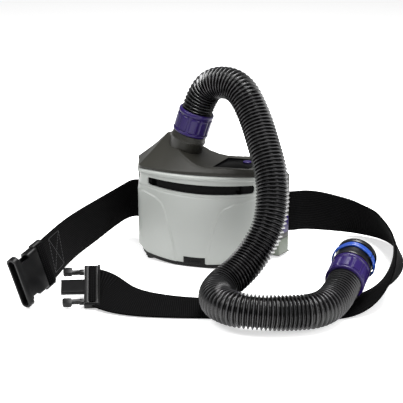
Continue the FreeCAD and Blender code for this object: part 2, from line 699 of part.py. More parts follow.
BELT_LEFT = [
    (25.0, 33.2, 51.5, 0.0), (-12.0, 32.2, 51.5, 0.0), (-40.0, 32.4, 51.5, 0.0), (-62.0, 35.6, 51.5, 0.0),
    (-96.0, 48.8, 51.5, 1.0), (-112.0, 47.0, 50.0, 8.0), (-124.0, 13.0, 43.5, 4.0),
    (-132.0, -24.0, 39.0, -3.0), (-136.5, -62.0, 37.6, -6.0), (-136.0, -101.0, 38.0, -8.0),
    (-131.0, -140.0, 40.0, -10.0), (-124.3, -179.3, 42.8, -12.0),
]


def smooth_stations(route, steps):
    """Points and leans along the smooth line that has the route's points as its control points."""
    rows = [(Vector(x, y, z), lean) for x, y, z, lean in route]
    stations = [rows[0]]
    last = len(rows) - 2
    for i in range(1, last + 1):
        ends = []
        for a, b, at_end in ((rows[i - 1], rows[i], i == 1), (rows[i], rows[i + 1], i == last)):
            weight = 0.5
            if at_end:
                weight = 0.0 if a is rows[i - 1] else 1.0
            ends.append((a[0] + (b[0] - a[0]) * weight, a[1] + (b[1] - a[1]) * weight))
        for k in range(1, steps + 1):
            t = k / steps
            u = 1 - t
            spot = ends[0][0] * (u * u) + rows[i][0] * (2 * u * t) + ends[1][0] * (t * t)
            lean = ends[0][1] * u * u + rows[i][1] * 2 * u * t + ends[1][1] * t * t
            stations.append((spot, lean))
    return stations


def ribbon(route, end_across, thickness=STRAP_T, width=STRAP_W):
    """Flat webbing as a closed solid of flat facets, leaning from upright by each station's angle.

    The last section lies square to the buckle, along end_across.
    """
    stations = smooth_stations(route, 4)
    rings = []
    for i, (spot, lean) in enumerate(stations):
        before = stations[max(i - 1, 0)][0]
        after = stations[min(i + 1, len(stations) - 1)][0]
        heading = (after - before).normalize()
        level = Vector(-heading.y, heading.x, 0).normalize()
        upright = heading.cross(level) * -1
        if upright.z < 0:
            upright = upright * -1
        angle = math.radians(lean)
        across = upright * math.cos(angle) + level * math.sin(angle)
        if i == len(stations) - 1:
            across = Vector(end_across).normalize()
        normal = heading.cross(across).normalize()
        w = across * (width / 2)
        t = normal * (thickness / 2)
        rings.append([spot - w - t, spot + w - t, spot + w + t, spot - w + t])
    faces = []
    for near, far in zip(rings[:-1], rings[1:]):
        for k in range(4):
            a, b = near[k], near[(k + 1) % 4]
            c, d = far[(k + 1) % 4], far[k]
            faces.append(Part.Face(Part.makePolygon([a, b, c, a])))
            faces.append(Part.Face(Part.makePolygon([a, c, d, a])))
    for end in (rings[0], rings[-1]):
        faces.append(Part.Face(Part.makePolygon([end[0], end[1], end[2], end[0]])))
        faces.append(Part.Face(Part.makePolygon([end[0], end[2], end[3], end[0]])))
    solid = Part.Solid(Part.Shell(faces))
    if solid.Volume < 0:
        solid.reverse()
    length = sum((q[0] - p[0]).Length for p, q in zip(stations[:-1], stations[1:]))
    low = min(p.z for ring in rings for p in ring)
    print("ribbon length %.1f volume ratio %.4f lowest %.2f valid %s"
          % (length, solid.Volume / (length * width * thickness), low, solid.isValid()))
    return solid


# ------------------------------------------------------------------ buckle
FEMALE_MOUTH = Vector(-137.0, -223.0, 31.0)
FEMALE_OUT = Vector(-0.27, -0.93, -0.25)
FEMALE_ACROSS = Vector(-0.2, -0.2, 0.96)
MALE_BAR = Vector(-69.0, -173.6, 17.6)
MALE_OUT = Vector(-0.93, -0.36, 0.0)
MALE_ACROSS = Vector(-0.30, 0.80, 0.47)


def female_placement():
    return frame_at(FEMALE_MOUTH, FEMALE_OUT, FEMALE_ACROSS)


def buckle_female():
    """Female half in its own frame: +X out of the mouth, Y across, Z thickness."""
    body = rounded_box(-34, -6, -25, 25, -6.0, 6.0, 4.0, "x")
    mouth = rounded_box(-7, 0, -29.5, 29.5, -6.5, 6.5, 5.5, "x")
    bar_frame = rounded_box(-47, -33, -27.5, 27.5, -4.0, 4.0, 3.0, "x")
    half = fuse([body, mouth, bar_frame])
    throat = rounded_box(-31, 1, -22.5, 22.5, -3.6, 3.6, 2.5, "x")
    flare = rounded_box(-6, 1, -27.2, 27.2, -4.4, 4.4, 3.8, "x")
    half = half.cut(throat).cut(flare)
    for side in (-1, 1):
        notch = box(-21, -9, min(side * 20, side * 31), max(side * 20, side * 31), -8, 8)
        half = half.cut(notch)
    slot = rounded_box(-42.5, -36.0, -25.4, 25.4, -6, 6, 1.0, "z")
    return placed(half.cut(slot), female_placement())


def male_placement():
    return frame_at(MALE_BAR, MALE_OUT, MALE_ACROSS)


def buckle_male():
    """Male half body with its centre tongue; +X points at the female half."""
    frame_block = rounded_box(-3, 13, -28, 28, -4.5, 4.5, 3.0, "x")
    slot = rounded_box(1.5, 8.0, -25.4, 25.4, -6, 6, 1.0, "z")
    slot2 = rounded_box(-6, -1.2, -25.4, 25.4, -1.6, 1.6, 1.0, "x")
    tongue = rounded_box(12, 38, -9.5, 9.5, -2.8, 2.8, 2.0, "x")
    return placed(fuse([frame_block, tongue]).cut(slot).cut(slot2), male_placement())


def prong(side):
    """One spring arm with its barb, rooted in the male body."""
    s = side
    root = box(13.4, 18.0, min(s * 18.5, s * 23.0), max(s * 18.5, s * 23.0), -2.6, 2.6)
    arm = box(18.0, 31.0, min(s * 19.0, s * 22.0), max(s * 19.0, s * 22.0), -2.6, 2.6)
    barb = rounded_box(26.0, 36.0, min(s * 17.5, s * 25.5), max(s * 17.5, s * 25.5), -2.9, 2.9, 2.4, "z")
    return placed(fuse([root, arm, barb]), male_placement())


def webbing_bar():
    """Round bar that the webbing turns back over in the male half."""
    bar = box(3.4, 6.2, -25.3, 25.3, -1.5, 1.5)
    return placed(bar, male_placement())


# ------------------------------------------------------------------ output
NODES = {
    "filter_cover": filter_cover,
    "cover_latch": cover_latch,
    "base_pan": base_pan,
    "feet": feet,
    "filter_frame": filter_frame,
    "filter_media": filter_media,
    "prefilter": prefilter,
    "spark_arrestor": spark_arrestor,
    "filter_gasket": filter_gasket,
    "chassis": chassis,
    "rear_housing": rear_housing,
    "upper_housing": upper_housing,
    "outlet_spigot": outlet_spigot,
    "outlet_duct": outlet_duct,
    "blower_scroll": blower_scroll,
    "blower_inlet_plate": blower_inlet_plate,
    "impeller": impeller,
    "motor_can": motor_can,
    "motor_shaft": motor_shaft,
    "motor_bearing": motor_bearing,
    "control_board": control_board,
    "buzzer": buzzer,
    "display_window": display_window,
    "power_button": lambda: deck_button(POWER_BUTTON),
    "flow_button": lambda: deck_button(FLOW_BUTTON),
    "battery_pack": battery_pack,
    "rear_foot_trim": rear_foot_trim,
    "battery_latch": battery_latch,
    "battery_contacts": battery_contacts,
    "housing_screws": housing_screws,
    "belt_guide_right": lambda: belt_guide(1),
    "belt_guide_left": lambda: belt_guide(-1),
    "hose": hose,
    "cuff_unit": cuff_unit,
    "outlet_o_ring": outlet_o_ring,
    "collar_unit": collar_unit,
    "cuff_head": cuff_head,
    "collar_head": collar_head,
    "lock_ring": lock_ring,
    "squeeze_tab_left": lambda: squeeze_tab(180),
    "squeeze_tab_right": lambda: squeeze_tab(0),
    "belt_right": lambda: ribbon(BELT_RIGHT, MALE_ACROSS * -1),
    "belt_left": lambda: ribbon(BELT_LEFT, FEMALE_ACROSS),
    "buckle_female": buckle_female,
    "buckle_male": buckle_male,
    "prong_upper": lambda: prong(1),
    "prong_lower": lambda: prong(-1),
    "webbing_bar": webbing_bar,
}

for name, make in NODES.items():
    shape = make()
    if not shape.isValid() or shape.Volume <= 0:
        print("BAD", name, shape.isValid(), shape.Volume)
    shape.exportStep("parts/%s.step" % name)
    b = shape.BoundBox
    print("%-20s %8.1f mm3  x %.1f..%.1f y %.1f..%.1f z %.1f..%.1f solids %d"
          % (name, shape.Volume, b.XMin, b.XMax, b.YMin, b.YMax, b.ZMin, b.ZMax, len(shape.Solids)))
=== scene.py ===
import json
import math

import bmesh
import bpy
import numpy as np
from mathutils import Matrix, Vector


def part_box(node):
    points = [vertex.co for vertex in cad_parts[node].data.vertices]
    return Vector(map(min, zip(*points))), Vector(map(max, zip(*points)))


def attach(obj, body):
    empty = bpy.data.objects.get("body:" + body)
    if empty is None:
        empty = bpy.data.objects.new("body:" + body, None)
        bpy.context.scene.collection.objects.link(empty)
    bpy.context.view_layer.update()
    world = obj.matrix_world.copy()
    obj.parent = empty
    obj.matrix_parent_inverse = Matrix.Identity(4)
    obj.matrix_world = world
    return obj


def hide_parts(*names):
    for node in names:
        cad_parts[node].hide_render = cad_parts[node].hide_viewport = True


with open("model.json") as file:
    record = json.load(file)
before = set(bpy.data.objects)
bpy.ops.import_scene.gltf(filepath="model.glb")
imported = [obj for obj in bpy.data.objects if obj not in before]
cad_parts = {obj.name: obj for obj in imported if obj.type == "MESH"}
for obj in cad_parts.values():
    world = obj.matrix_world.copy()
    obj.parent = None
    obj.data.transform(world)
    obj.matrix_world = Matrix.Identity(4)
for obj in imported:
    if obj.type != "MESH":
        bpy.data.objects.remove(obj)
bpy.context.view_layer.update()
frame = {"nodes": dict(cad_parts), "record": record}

# Shapes are in millimetres.
MM = 0.001
nodes = frame["nodes"]


# ------------------------------------------------------------------ camera, floor and light
TARGET = Vector((-0.003, 0.0, 0.069))
AZIMUTH, ELEVATION = math.radians(17), math.radians(17)
DISTANCE = 1.35
SENSOR_WIDTH, FOCAL_LENGTH = 36, 101


def make_camera():
    data = bpy.data.cameras.new("camera")
    data.sensor_width = SENSOR_WIDTH
    data.lens = FOCAL_LENGTH
    back = Vector((math.sin(AZIMUTH) * math.cos(ELEVATION), -math.cos(AZIMUTH) * math.cos(ELEVATION),
                   math.sin(ELEVATION)))
    camera = bpy.data.objects.new("camera", data)
    camera.location = TARGET + back * DISTANCE
    camera.rotation_euler = (-back).to_track_quat("-Z", "Y").to_euler()
    bpy.context.collection.objects.link(camera)
    bpy.context.scene.camera = camera


def area_light(name, place, aim, size, power):
    data = bpy.data.lights.new(name, "AREA")
    data.shape = "RECTANGLE"
    data.size, data.size_y = size
    data.energy = power
    light = bpy.data.objects.new(name, data)
    light.location = place
    light.rotation_euler = (Vector(aim) - Vector(place)).to_track_quat("-Z", "Y").to_euler()
    bpy.context.collection.objects.link(light)


def make_studio():
    """White surroundings with soft lights at the front left, at the right and overhead."""
    area_light("key", (-0.6, -0.8, 1.2), (0, -0.05, 0.05), (0.7, 0.6), 13)
    area_light("strip", (1.2, -0.7, 0.7), (0.1, -0.05, 0.08), (0.4, 1.1), 12)
    area_light("overhead", (0.25, 0.1, 1.4), (0, -0.05, 0.05), (1.2, 0.5), 42)
    world = bpy.data.worlds.new("world")
    bpy.context.scene.world = world
    world.use_nodes = True
    background = world.node_tree.nodes["Background"]
    background.inputs["Color"].default_value = (1.0, 1.0, 1.0, 1)
    background.inputs["Strength"].default_value = 0.3
    bpy.context.scene.view_settings.view_transform = "Standard"


# ------------------------------------------------------------------ materials
def new_material(name):
    material = bpy.data.materials.new(name)
    material.use_nodes = True
    tree = material.node_tree
    return material, tree, tree.nodes["Principled BSDF"]


def add_node(tree, kind, **inputs):
    node = tree.nodes.new(kind)
    for key, value in inputs.items():
        node.inputs[key.replace("_", " ")].default_value = value
    return node


def noise(tree, scale, detail=3.0):
    """Noise in object space, as a value."""
    coords = tree.nodes.new("ShaderNodeTexCoord")
    node = add_node(tree, "ShaderNodeTexNoise", Scale=scale, Detail=detail)
    tree.links.new(coords.outputs["Object"], node.inputs["Vector"])
    return node.outputs["Fac"]


def ramp(tree, source, low, high, start=0.35, end=0.65):
    """Colour that goes from low to high as a value goes from start to end."""
    node = tree.nodes.new("ShaderNodeValToRGB")
    node.color_ramp.elements[0].position = start
    node.color_ramp.elements[1].position = end
    node.color_ramp.elements[0].color = (*low, 1)
    node.color_ramp.elements[1].color = (*high, 1)
    tree.links.new(source, node.inputs["Fac"])
    return node.outputs["Color"]


def scaled(colour, k):
    return tuple(min(1.0, c * k) for c in colour)


def bump(tree, source, strength, distance):
    """Surface normal from a height value."""
    node = add_node(tree, "ShaderNodeBump", Strength=strength, Distance=distance)
    tree.links.new(source, node.inputs["Height"])
    return node.outputs["Normal"]


def moulded(name, colour, roughness=0.45, grain=1400.0, strength=0.12, mottle=0.08, gloss=0.5):
    """Moulded plastic or rubber: spark-eroded grain, faint mottling and handling marks in the gloss."""
    material, tree, shader = new_material(name)
    shader.inputs["Specular IOR Level"].default_value = gloss
    tint = ramp(tree, noise(tree, 22.0, 4.0), scaled(colour, 1 - mottle), scaled(colour, 1 + mottle))
    tree.links.new(tint, shader.inputs["Base Color"])
    marks = tree.nodes.new("ShaderNodeMapRange")
    tree.links.new(noise(tree, 60.0, 6.0), marks.inputs["Value"])
    marks.inputs["To Min"].default_value = roughness - 0.07
    marks.inputs["To Max"].default_value = roughness + 0.09
    tree.links.new(marks.outputs["Result"], shader.inputs["Roughness"])
    tree.links.new(bump(tree, noise(tree, grain, 2.0), strength, 0.0003), shader.inputs["Normal"])
    return material


def metal(name, colour, roughness):
    """Brushed metal."""
    material, tree, shader = new_material(name)
    shader.inputs["Metallic"].default_value = 1.0
    tree.links.new(ramp(tree, noise(tree, 90.0), scaled(colour, 0.85), colour), shader.inputs["Base Color"])
    shader.inputs["Roughness"].default_value = roughness
    tree.links.new(bump(tree, noise(tree, 2500.0, 1.0), 0.15, 0.0002), shader.inputs["Normal"])
    return material


def fibrous(name, colour, scale=900.0):
    """Filter paper, felt or foam."""
    material, tree, shader = new_material(name)
    tint = ramp(tree, noise(tree, scale, 6.0), scaled(colour, 0.7), scaled(colour, 1.15))
    tree.links.new(tint, shader.inputs["Base Color"])
    shader.inputs["Roughness"].default_value = 0.9
    shader.inputs["Specular IOR Level"].default_value = 0.15
    tree.links.new(bump(tree, noise(tree, scale * 2, 4.0), 0.5, 0.0006), shader.inputs["Normal"])
    return material


def woven(name, colour):
    """Webbing: ribs across the belt, crossed by warp lines along it. UV is in units of WEAVE_UNIT."""
    material, tree, shader = new_material(name)
    coords = tree.nodes.new("ShaderNodeTexCoord")

    def wave(direction, scale, distortion):
        node = add_node(tree, "ShaderNodeTexWave", Scale=scale, Distortion=distortion)
        node.bands_direction = direction
        tree.links.new(coords.outputs["UV"], node.inputs["Vector"])
        return node.outputs["Fac"]

    weft = wave("X", 7.5, 0.8)
    warp = wave("Y", 7.0, 0.5)
    both = tree.nodes.new("ShaderNodeMath")
    both.operation = "MULTIPLY"
    tree.links.new(weft, both.inputs[0])
    tree.links.new(warp, both.inputs[1])
    tint = ramp(tree, both.outputs["Value"], scaled(colour, 0.3), scaled(colour, 4.5), 0.0, 1.0)
    tree.links.new(tint, shader.inputs["Base Color"])
    shader.inputs["Roughness"].default_value = 0.85
    shader.inputs["Specular IOR Level"].default_value = 0.02
    tree.links.new(bump(tree, both.outputs["Value"], 0.6, 0.0005), shader.inputs["Normal"])
    return material


def corrugated(name, groove, crest, roughness, gloss):
    """Rubber hose with painted shade: near black in its grooves, lighter on its rib tops. U is 0 in a groove
    and 1 on a rib top.
    """
    material = moulded(name, crest, roughness, 1800.0, 0.01, gloss=gloss)
    tree = material.node_tree
    coords = tree.nodes.new("ShaderNodeTexCoord")
    parts = tree.nodes.new("ShaderNodeSeparateXYZ")
    tree.links.new(coords.outputs["UV"], parts.inputs["Vector"])
    # Base colour goes from the groove colour to the rib-top colour: painted shade in the grooves.
    painted_groove_shade = ramp(tree, parts.outputs["X"], groove, crest, 0.45, 0.95)
    tree.links.new(painted_groove_shade, tree.nodes["Principled BSDF"].inputs["Base Color"])
    return material


SURFACES = {
    "cover_grey": moulded("cover_grey_look", (0.285, 0.298, 0.283), 0.33, mottle=0.02),
    "housing_dark": moulded("housing_dark_look", (0.015, 0.0145, 0.0115), 0.4, gloss=0.3),
    "base_dark": moulded("base_dark_look", (0.005, 0.005, 0.005), 0.45, gloss=0.12),
    "inner_plastic": moulded("inner_plastic_look", (0.012, 0.012, 0.013), 0.55, gloss=0.2),
    "purple_plastic": moulded("purple_plastic_look", (0.0115, 0.0040, 0.058), 0.3, gloss=0.28),
    "ring_blue": moulded("ring_blue_look", (0.008, 0.04, 0.24), 0.25, strength=0.04),
    "battery_green": moulded("battery_green_look", (0.10, 0.115, 0.09), 0.42),
    # Also the near-black wall of painted shade round the window recess.
    "window_black": moulded("window_black_look", (0.001, 0.001, 0.0012), 0.3, strength=0.0, gloss=0.02),
    "foot_rubber": moulded("foot_rubber_look", (0.02, 0.02, 0.02), 0.8, 900.0, 0.3),
    "filter_paper": fibrous("filter_paper_look", (0.75, 0.75, 0.7)),
    # Also the near-black sheet of painted shade behind the inlet slot.
    "foam_grey": fibrous("foam_grey_look", (0.002, 0.002, 0.002), 1400.0),
    # Screen metal nearly black: painted shade on the spark arrestor.
    "screen_metal": metal("screen_metal_shaded_look", (0.0015, 0.0015, 0.0015), 0.7),
    "steel": metal("steel_look", (0.55, 0.55, 0.56), 0.35),
    "brass_contact": metal("brass_contact_look", (0.8, 0.58, 0.25), 0.3),
    "board_green": moulded("board_green_look", (0.01, 0.1, 0.04), 0.35),
    "seal_rubber": moulded("seal_rubber_look", (0.004, 0.004, 0.004), 0.5, gloss=0.2),
    # Hose: the first colour is painted shade in the grooves, the second the lighter rib tops.
    "hose_rubber": corrugated("hose_rubber_look", (0.0003, 0.0003, 0.0003), (0.02, 0.02, 0.021), 0.22, 0.36),
    "webbing_black": woven("webbing_black_look", (0.002, 0.002, 0.0021)),
    "thread_black": moulded("thread_black_look", (0.025, 0.025, 0.026), 0.6, gloss=0.2),
    "buckle_black": moulded("buckle_black_look", (0.002, 0.002, 0.0022), 0.36, gloss=0.16),
    "cuff_black": moulded("cuff_black_look", (0.003, 0.003, 0.0032), 0.3, gloss=0.35),
}
NODE_SLOT = {s["node"]: s["material_slot"] for s in frame["record"]["subparts"]}
BODY_OF = {node: body for body, members in frame["record"]["behaviour"]["bodies"].items() for node in members}


# ------------------------------------------------------------------ mesh helpers
def mesh_object(name, verts, faces, surface, sharp=40.0, uvs=None):
    """A mesh from millimetre points, shaded smooth except over sharp edges."""
    mesh = bpy.data.meshes.new(name)
    mesh.from_pydata([(x * MM, y * MM, z * MM) for x, y, z in verts], [], faces)
    if uvs is not None:
        layer = mesh.uv_layers.new(name="UVMap")
        for loop in mesh.loops:
            layer.data[loop.index].uv = uvs[loop.vertex_index]
    work = bmesh.new()
    work.from_mesh(mesh)
    bmesh.ops.recalc_face_normals(work, faces=work.faces)
    work.to_mesh(mesh)
    work.free()
    finish_mesh(mesh, surface, sharp)
    obj = bpy.data.objects.new(name, mesh)
    bpy.context.collection.objects.link(obj)
    return obj


def finish_mesh(mesh, surface, sharp):
    """One material, shaded smooth except over edges sharper than so many degrees."""
    mesh.materials.clear()
    mesh.materials.append(SURFACES[surface])
    mesh.shade_smooth()
    mesh.set_sharp_from_angle(angle=math.radians(sharp))


def place(obj, body, slot, *replaced):
    """Says which body a piece rides on and hides the CAD parts that it stands for. The slot argument is not
    used.
    """
    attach(obj, body)
    if replaced:
        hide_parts(*replaced)
    return obj


def grid_faces(rows, cols, close_cols=False, close_rows=False):
    """Quads of a grid of points numbered row by row."""
    faces = []
    for i in range(rows if close_rows else rows - 1):
        for j in range(cols if close_cols else cols - 1):
            a, b = i % rows * cols, (i + 1) % rows * cols
            k = (j + 1) % cols
            faces.append((a + j, a + k, b + k, b + j))
    return faces


def tube_faces(rows, cols):
    """Faces of a tube of points numbered ring by ring, with a cap at each end."""
    last = (rows - 1) * cols
    return grid_faces(rows, cols, close_cols=True) + [tuple(range(cols)), tuple(range(last, last + cols))]


def prism(name, ring, z0, z1, surface="housing_dark", sharp=40.0):
    """A closed solid straight up from z0 to z1 over a plan outline."""
    verts = [(x, y, z) for z in (z0, z1) for x, y in ring]
    return mesh_object(name, verts, tube_faces(2, len(ring)), surface, sharp)


def modified(obj, kind, **settings):
    """Applies one modifier to an object's mesh."""
    modifier = obj.modifiers.new(kind.lower(), kind)
    for key, value in settings.items():
        setattr(modifier, key, value)
    graph = bpy.context.evaluated_depsgraph_get()
    graph.update()
    mesh = bpy.data.meshes.new_from_object(obj.evaluated_get(graph), depsgraph=graph)
    obj.modifiers.clear()
    old = obj.data
    obj.data = mesh
    bpy.data.meshes.remove(old)


def carve(obj, cutter, operation="DIFFERENCE"):
    """Boolean with a throwaway cutter."""
    modified(obj, "BOOLEAN", object=cutter, operation=operation, solver="EXACT")
    bpy.data.objects.remove(cutter)


WELD = 0.00002
FLAT_ENOUGH = math.radians(1.5)
BEVEL_FROM = math.radians(38)


def softened(node, width, surface):
    """A CAD part's own shape with its edges rounded, standing for the CAD part."""
    mesh = nodes[node].data.copy()
    work = bmesh.new()
    work.from_mesh(mesh)
    bmesh.ops.remove_doubles(work, verts=work.verts, dist=WELD)
    bmesh.ops.dissolve_limit(work, angle_limit=FLAT_ENOUGH, verts=work.verts, edges=work.edges)
    work.to_mesh(mesh)
    work.free()
    obj = bpy.data.objects.new(node + "_look", mesh)
    bpy.context.collection.objects.link(obj)
    modified(obj, "BEVEL", width=width * MM, segments=2, limit_method="ANGLE", angle_limit=BEVEL_FROM,
             use_clamp_overlap=True)
    finish_mesh(obj.data, surface, 32.0)
    return place(obj, BODY_OF[node], surface, node)


# ------------------------------------------------------------------ lines that follow control points
def spline_points(name, points, resolution):
    """Points along the smooth NURBS line with these control points, in the points' own units."""
    curve = bpy.data.curves.new(name, "CURVE")
    curve.dimensions = "3D"
    curve.resolution_u = resolution
    spline = curve.splines.new("NURBS")
    spline.points.add(len(points) - 1)
    for target, point in zip(spline.points, points):
        target.co = (*point, 1)
    spline.order_u = 3
    spline.use_endpoint_u = True
    obj = bpy.data.objects.new(name, curve)
    mesh = bpy.data.meshes.new_from_object(obj)
    line = np.array([v.co[:] for v in mesh.vertices])
    bpy.data.objects.remove(obj)
    bpy.data.curves.remove(curve)
    bpy.data.meshes.remove(mesh)
    return line


def arc_lengths(line):
    return np.concatenate([[0.0], np.cumsum(np.linalg.norm(np.diff(line, axis=0), axis=1))])


def resampled(line, step):
    lengths = arc_lengths(line)
    count = max(2, int(round(lengths[-1] / step)) + 1)
    spots = np.linspace(0, lengths[-1], count)
    return np.stack([np.interp(spots, lengths, line[:, k]) for k in range(line.shape[1])], axis=1), spots


def unit_rows(vectors):
    return vectors / np.linalg.norm(vectors, axis=1)[:, None]


def full_turn(count):
    """Evenly spaced angles once round a circle."""
    return np.linspace(0, 2 * math.pi, count, endpoint=False)


def carried_frames(line, start_side):
    """Side and normal along a line, carried along with no twist."""
    tangents = unit_rows(np.gradient(line, axis=0))
    side = np.array(start_side, float)
    sides = []
    for tangent in tangents:
        side = side - tangent * side.dot(tangent)
        side = side / np.linalg.norm(side)
        sides.append(side)
    sides = np.array(sides)
    return sides, np.cross(tangents, sides)


# ------------------------------------------------------------------ hose
TILT = math.radians(18)
OUTLET = np.array([-17.3, 2.0, 153.5])
OUTLET_AXIS = np.array([math.sin(TILT), 0.0, math.cos(TILT)])
COLLAR_L = 27.5
HEAD_AXIS = unit_rows(np.array([[0.09, 0.955, 0.282]]))[0]
HEAD = np.array([191.0, -116.0, 30.0])
HOSE_ROUTE = [
    OUTLET + OUTLET_AXIS * COLLAR_L, OUTLET + OUTLET_AXIS * (COLLAR_L + 24.0), (18.0, -4.0, 217.0),
    (48.0, -16.0, 214.5), (70.0, -32.5, 184.5), (85.0, -51.0, 156.5), (97.0, -66.0, 132.5),
    (103.5, -80.0, 109.0), (104.5, -95.5, 81.5), (94.5, -111.0, 56.0), (81.5, -133.0, 37.5),
    (64.5, -161.0, 26.5), (69.0, -190.5, 24.5), (92.0, -209.0, 24.5), (122.0, -206.5, 23.0),
    (151.0, -193.5, 21.0), (178.5, -177.5, 21.0), HEAD - HEAD_AXIS * 25.5, HEAD,
]
RIB_PITCH = 4.2
RIB_OUT, RIB_IN = 18.4, 15.2
RIB_SHARPNESS = 1.3
STEPS_PER_RIB = 10
HOSE_AROUND = 56


def make_hose():
    """Corrugated hose: one rounded rib every few millimetres along the spline."""
    raw = spline_points("hose_route", HOSE_ROUTE, 24)
    length = arc_lengths(raw)[-1]
    ribs = int(round(length / RIB_PITCH))
    line, spots = resampled(raw, length / (ribs * STEPS_PER_RIB))
    sides, normals = carried_frames(line, (0, 1, 0))
    phase = np.cos(2 * math.pi * spots * ribs / length)
    crest = np.clip(0.5 - 0.5 * phase, 0, 1) ** RIB_SHARPNESS
    radius = RIB_IN + (RIB_OUT - RIB_IN) * crest
    angles = full_turn(HOSE_AROUND)[None, :, None]
    radial = np.cos(angles) * sides[:, None, :] + np.sin(angles) * normals[:, None, :]
    verts = (line[:, None, :] + radius[:, None, None] * radial).reshape(-1, 3)
    # U is the rib-top value, which sets the painted groove shade in the hose's colour.
    uvs = [(rise, k / HOSE_AROUND) for rise in crest for k in range(HOSE_AROUND)]
    faces = grid_faces(len(line), HOSE_AROUND, close_cols=True)
    hose = mesh_object("hose_skin", verts, faces, "hose_rubber", 80, uvs)
    place(hose, "unit", "hose_rubber", "hose")
    return hose, raw * MM, length * MM


# ------------------------------------------------------------------ belt
STRAP_W = 50.0
STRAP_T = 2.2
STRAP_STEP = 2.0
END_TWIST = 14.0
WEAVE_UNIT = 50.0
STITCH = 3.6
THREAD_LOW, THREAD_TOP = 0.42, 0.22
STITCH_FROM, STITCH_TO, STITCH_HALF = 58.0, 20.0, 19.5
# Route points, each with the webbing's lean from upright in degrees.
BELT_RIGHT = [
    (-25.0, 28.6, 51.5, 0.0), (12.0, 28.2, 51.5, 0.0), (40.0, 29.4, 51.5, 0.0), (62.0, 35.4, 51.5, 0.0),
    (96.0, 48.8, 51.5, 0.0), (109.0, 77.0, 46.5, -4.0), (131.0, 108.0, 35.0, -14.0),
    (163.0, 126.0, 25.4, -22.0), (197.0, 112.0, 23.2, -28.0), (216.0, 73.0, 22.8, -29.0),
    (227.0, 33.0, 23.8, -23.0), (231.0, -10.0, 25.8, -8.0), (231.0, -48.0, 25.6, 14.0),
    (222.0, -84.0, 16.5, 56.0), (201.0, -116.0, 3.2, 88.0), (168.0, -134.0, 1.6, 90.0),
    (128.0, -144.0, 1.7, 90.0), (90.0, -154.0, 1.7, 90.0), (52.0, -162.5, 2.6, 92.0),
    (14.0, -174.0, 4.2, 95.0), (-22.0, -181.5, 7.2, 101.0), (-48.0, -180.5, 11.5, 108.0),
    (-67.9, -173.2, 17.6, 116.0),
]
BELT_LEFT = [
    (25.0, 33.2, 51.5, 0.0), (-12.0, 32.2, 51.5, 0.0), (-40.0, 32.4, 51.5, 0.0), (-62.0, 35.6, 51.5, 0.0),
    (-96.0, 48.8, 51.5, 1.0), (-112.0, 47.0, 50.0, 8.0), (-124.0, 13.0, 43.5, 4.0),
    (-132.0, -24.0, 39.0, -3.0), (-136.5, -62.0, 37.6, -6.0), (-136.0, -101.0, 38.0, -8.0),
    (-131.0, -140.0, 40.0, -10.0), (-124.3, -179.3, 42.8, -12.0),
]


def belt_frames(name, route, end_across):
    """Spline, centre line, directions across and through the webbing, and distance along it."""
    raw = spline_points(name, [p[:3] for p in route], 16)
    leans = spline_points(name + "_lean", [(p[3], 0, 0) for p in route], 16)[:, :1]
    both, spots = resampled(np.hstack([raw, leans]), STRAP_STEP)
    line, lean = both[:, :3], np.radians(both[:, 3])
    heading = unit_rows(np.gradient(line, axis=0))
    level = unit_rows(np.stack([-heading[:, 1], heading[:, 0], np.zeros(len(line))], axis=1))
    upright = -np.cross(heading, level)
    upright = upright * np.sign(upright[:, 2])[:, None]
    across = upright * np.cos(lean)[:, None] + level * np.sin(lean)[:, None]
    blend = np.clip((spots - (spots[-1] - END_TWIST)) / END_TWIST, 0, 1)[:, None]
    end = np.array(end_across, float) / np.linalg.norm(end_across)
    across = unit_rows(across * (1 - blend) + end * blend)
    through = unit_rows(np.cross(heading, across))
    return raw, line, across, through, spots


def make_belt(name, route, end_across, node):
    """Webbing along a route, with rounded edges, its end turned to a given direction across."""
    raw, line, across, through, spots = belt_frames(name, route, end_across)
    half, thick = STRAP_W / 2, STRAP_T / 2
    flat = np.linspace(-half + 0.8, half - 0.8, 21)
    edge = [(half - 0.25, thick * 0.7), (half, 0), (half - 0.25, -thick * 0.7)]
    section = [(u, thick) for u in flat] + edge
    section += [(-u, -t) for u, t in section]
    u, t = np.array(section).T[:, None, :, None]
    rings = line[:, None, :] + u * across[:, None, :] + t * through[:, None, :]
    uvs = [(spot / WEAVE_UNIT, x / WEAVE_UNIT) for spot in spots for x, _ in section]
    faces = tube_faces(len(line), len(section))
    belt = mesh_object(name, rings.reshape(-1, 3), faces, "webbing_black", 50, uvs)
    place(belt, "unit", "webbing_black", node)
    return belt, raw * MM, arc_lengths(raw)[-1] * MM, (line, across, through, spots)


def make_stitches(name, frames, along0, along1, half, side):
    """Box and cross stitching on one face of the webbing, between two distances along it."""
    line, across, through, spots = frames
    corners = [(along0, -half), (along1, -half), (along1, half), (along0, half)]
    runs = [(corners[i], corners[(i + 1) % 4]) for i in range(4)]
    runs += [(corners[0], corners[2]), (corners[1], corners[3])]
    verts, faces = [], []
    for (s0, w0), (s1, w1) in runs:
        length = math.hypot(s1 - s0, w1 - w0)
        count = int(length / STITCH)
        for k in range(count):
            first = len(verts)
            for f, lift in ((0.12, 0.05), (0.5, 0.42), (0.88, 0.05)):
                s, w = (start + (end - start) * (k + f) / count for start, end in ((s0, s1), (w0, w1)))
                centre = np.array([np.interp(s, spots, line[:, a]) for a in range(3)])
                row = int(np.clip(np.searchsorted(spots, s), 0, len(spots) - 1))
                along = np.cross(across[row], through[row])
                sideways = across[row] * (s1 - s0) / length - along * (w1 - w0) / length
                top = centre + across[row] * w + through[row] * side * (STRAP_T / 2 + lift)
                low = centre + across[row] * w + through[row] * side * (STRAP_T / 2 - 0.2)
                verts += [low - sideways * THREAD_LOW, top - sideways * THREAD_TOP,
                          top + sideways * THREAD_TOP, low + sideways * THREAD_LOW]
            faces += [tuple(first + corner for corner in face) for face in grid_faces(3, 4)]
    stitches = mesh_object(name, verts, faces, "thread_black", 80)
    return place(stitches, "unit", "webbing_black")


